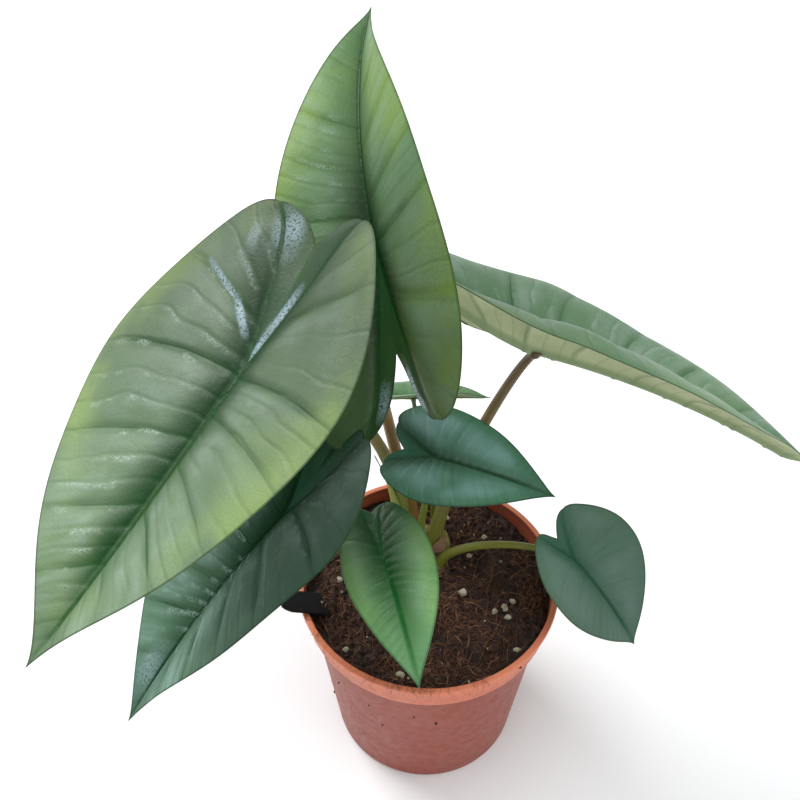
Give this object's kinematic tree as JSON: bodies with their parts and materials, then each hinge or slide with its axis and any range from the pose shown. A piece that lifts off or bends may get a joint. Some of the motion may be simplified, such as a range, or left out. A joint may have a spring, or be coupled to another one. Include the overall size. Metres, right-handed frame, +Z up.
{
  "type": "potted alocasia",
  "caption": "Potted alocasia with silver-green arrow-shaped leaves on slender stalks, rising from fibrous potting mix in a tapered terracotta-coloured nursery pot.",
  "frame": {"origin": "centre of the pot's flat base, on the surface it stands on", "axes": "+Z up along the pot's axis; the front, from which the plant is seen best, faces -Y; +X is to the viewer's right"},
  "size_m": [0.2996, 0.2568, 0.318],
  "materials": {
    "pot": "thin injection-moulded polypropylene, terracotta brown, soft satin, with soil specks",
    "soil": "damp fibrous peat and coir, matte, with loose reddish fibres",
    "perlite": "chalky, porous, lightly soiled",
    "crown": "swollen green-brown stem base, satin",
    "silver_leaf": "silver-green waxy leaf, quilted between veins, low sheen with silver streaks",
    "deep_leaf": "deep green waxy leaf, quilted between veins, soft sheen",
    "petiole": "smooth olive to tan stalk, faint long streaks, satin",
    "green_sheath": "pale green leaf sheath, fine long ribs, satin",
    "dry_sheath": "dry papery bract, pink-beige, matte",
    "plant_stake": "black moulded plastic, satin"
  },
  "bodies": {
    "root": {"pot": "pot", "soil": "soil", "crown": "crown", "leaf_1_blade": "silver_leaf", "leaf_1_petiole": "petiole", "leaf_2_blade": "silver_leaf", "leaf_2_petiole": "petiole", "leaf_3_blade": "silver_leaf", "leaf_3_petiole": "petiole", "leaf_4_blade": "silver_leaf", "leaf_4_petiole": "petiole", "leaf_5_blade": "deep_leaf", "leaf_5_petiole": "petiole", "leaf_6_blade": "deep_leaf", "leaf_6_petiole": "petiole", "leaf_7_blade": "deep_leaf", "leaf_7_petiole": "petiole", "leaf_8_blade": "deep_leaf", "leaf_8_petiole": "petiole", "green_sheath": "green_sheath", "dry_sheath": "dry_sheath", "plant_stake": "plant_stake", "perlite_01": "perlite", "perlite_02": "perlite", "perlite_03": "perlite", "perlite_04": "perlite", "perlite_05": "perlite", "perlite_06": "perlite", "perlite_07": "perlite", "perlite_08": "perlite", "perlite_09": "perlite", "perlite_10": "perlite", "perlite_11": "perlite", "perlite_12": "perlite"}
  },
  "joints": []
}
